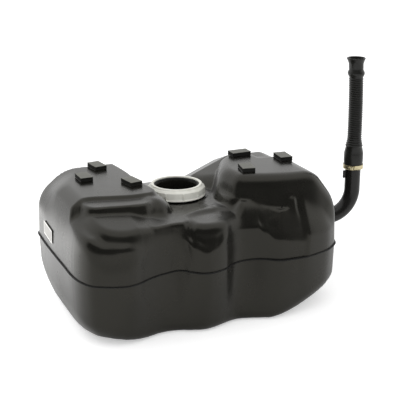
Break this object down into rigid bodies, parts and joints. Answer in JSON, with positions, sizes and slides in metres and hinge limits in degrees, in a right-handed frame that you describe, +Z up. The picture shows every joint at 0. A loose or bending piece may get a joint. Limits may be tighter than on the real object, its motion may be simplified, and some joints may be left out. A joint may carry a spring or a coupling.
{
  "type": "car fuel tank",
  "caption": "Blow-moulded black plastic car fuel tank with a white pump lock ring, foam pads and a ribbed filler hose.",
  "frame": {"origin": "middle of the flat underside", "axes": "+X along the tank towards the filler, +Y towards the back, +Z up towards the pump mouth"},
  "size_m": [0.8142, 0.4705, 0.5893],
  "materials": {
    "tank_plastic": "semi-gloss moulded polyethylene",
    "ring_plastic": "satin moulded plastic",
    "pad_foam": "open foam, dull",
    "seal_rubber": "smooth rubber",
    "label_paper": "matt film",
    "pipe_rubber": "satin rubber",
    "hose_rubber": "satin ribbed hose",
    "zinc_steel": "yellow zinc plate",
    "valve_plastic": "moulded plastic",
    "spring_steel": "drawn wire"
  },
  "bodies": {
    "root": {"upper_shell": "tank_plastic", "lower_shell": "tank_plastic", "neck_seal": "seal_rubber", "foam_pad_left_back": "pad_foam", "foam_pad_left_outer": "pad_foam", "foam_pad_left_inner": "pad_foam", "foam_pad_right_back": "pad_foam", "foam_pad_right_front": "pad_foam", "foam_pad_right_outer": "pad_foam", "label": "label_paper", "filler_nipple": "tank_plastic", "elbow_pipe": "pipe_rubber", "filler_hose": "hose_rubber", "hose_clamp_band": "zinc_steel", "hose_clamp_housing": "zinc_steel", "elbow_clamp_band": "zinc_steel", "elbow_clamp_housing": "zinc_steel", "inlet_valve_sleeve": "valve_plastic", "flap_pin": "spring_steel", "flap_spring": "spring_steel", "vent_valve_cup": "valve_plastic", "vent_cap": "valve_plastic", "vent_spring": "spring_steel"},
    "slip": {"slip_ring": "seal_rubber"},
    "lock": {"lock_ring": "ring_plastic"},
    "hose_screw": {"hose_clamp_screw": "zinc_steel"},
    "elbow_screw": {"elbow_clamp_screw": "zinc_steel"},
    "flap": {"inlet_flap": "valve_plastic"},
    "float": {"vent_float": "valve_plastic"}
  },
  "joints": [
    {"name": "ring_lift", "type": "slide", "parent": "root", "child": "slip", "axis": [0, 0, 1], "range_m": [0, 0.016]},
    {"name": "ring_turn", "type": "hinge", "parent": "slip", "child": "lock", "pos_m": [-0.0238, 0.03102, 0.28], "axis": [0, 0, 1], "range_deg": [0, 720]},
    {"name": "hose_screw_turn", "type": "hinge", "parent": "root", "child": "hose_screw", "pos_m": [0.42035, -0.06766, 0.3075], "axis": [0.7771, -0.6293, 0], "continuous": true},
    {"name": "elbow_screw_turn", "type": "hinge", "parent": "root", "child": "elbow_screw", "pos_m": [0.3571, -0.04512, 0.2034], "axis": [0, 1, 0], "continuous": true},
    {"name": "flap_swing", "type": "hinge", "parent": "root", "child": "flap", "pos_m": [0.2877, -0.04512, 0.1956], "axis": [0, 1, 0], "range_deg": [0, 75], "stiffness_Nm_per_rad": 0.002, "springref_deg": -17.19},
    {"name": "float_rise", "type": "slide", "parent": "root", "child": "float", "axis": [0, 0, 1], "range_m": [0, 0.006]}
  ],
  "couplings": [
    {"joint": "ring_turn", "follows": "ring_lift", "rad_per_m": 785.39}
  ]
}
